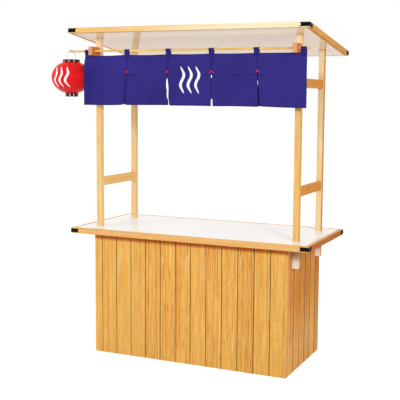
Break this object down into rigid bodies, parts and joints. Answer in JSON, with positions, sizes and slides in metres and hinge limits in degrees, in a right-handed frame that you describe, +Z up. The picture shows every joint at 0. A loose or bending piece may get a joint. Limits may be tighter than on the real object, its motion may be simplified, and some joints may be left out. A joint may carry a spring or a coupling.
{
  "type": "wooden market stall",
  "caption": "Knock-down wooden market stall: boarded base with an open back, white counter, posts under a sloping roof, a split curtain on a bamboo pole and a hanging round paper lantern.",
  "frame": {"origin": "on the ground, in the middle of the bottom face of the front panel", "axes": "+X along the counter to the right as a customer sees it, +Y from the front to the back, +Z up"},
  "size_m": [1.8241, 0.881, 2.144],
  "materials": {
    "board_wood": "stained cedar boards, satin",
    "stile_wood": "bare softwood",
    "laminate": "white gloss laminate",
    "edging_wood": "varnished softwood",
    "black_metal": "black paint",
    "post_wood": "varnished softwood",
    "holder_wood": "varnished hardwood",
    "bamboo": "polished bamboo",
    "indigo_cloth": "plain woven cotton",
    "red_paper": "coated paper over hoops",
    "black_lacquer": "black lacquer",
    "wire": "bright wire"
  },
  "bodies": {
    "root": {"front_panel": "board_wood", "left_side_panel": "board_wood", "right_side_panel": "board_wood", "front_left_stile": "stile_wood", "front_right_stile": "stile_wood", "rear_left_stile": "stile_wood", "rear_right_stile": "stile_wood", "rear_top_rail": "stile_wood", "rear_bottom_rail": "stile_wood", "counter_panel": "laminate", "counter_front_edging": "edging_wood", "counter_back_edging": "edging_wood", "counter_left_edging": "edging_wood", "counter_right_edging": "edging_wood", "counter_bracket_front_left": "black_metal", "counter_bracket_front_right": "black_metal", "counter_bracket_back_left": "black_metal", "counter_bracket_back_right": "black_metal", "front_left_post": "post_wood", "front_right_post": "post_wood", "back_left_post": "post_wood", "back_right_post": "post_wood", "lower_left_rail": "post_wood", "lower_right_rail": "post_wood", "upper_left_rail": "post_wood", "upper_right_rail": "post_wood", "roof_panel": "laminate", "roof_front_edging": "edging_wood", "roof_back_edging": "edging_wood", "roof_left_edging": "edging_wood", "roof_right_edging": "edging_wood", "roof_bracket_front_left": "black_metal", "roof_bracket_front_right": "black_metal", "roof_bracket_back_left": "black_metal", "roof_bracket_back_right": "black_metal", "left_pole_holder": "holder_wood", "right_pole_holder": "holder_wood", "curtain_pole": "bamboo", "curtain": "indigo_cloth", "lantern_body": "red_paper", "lantern_top_ring": "black_lacquer", "lantern_bottom_ring": "black_lacquer", "lantern_handle": "wire"}
  },
  "joints": []
}
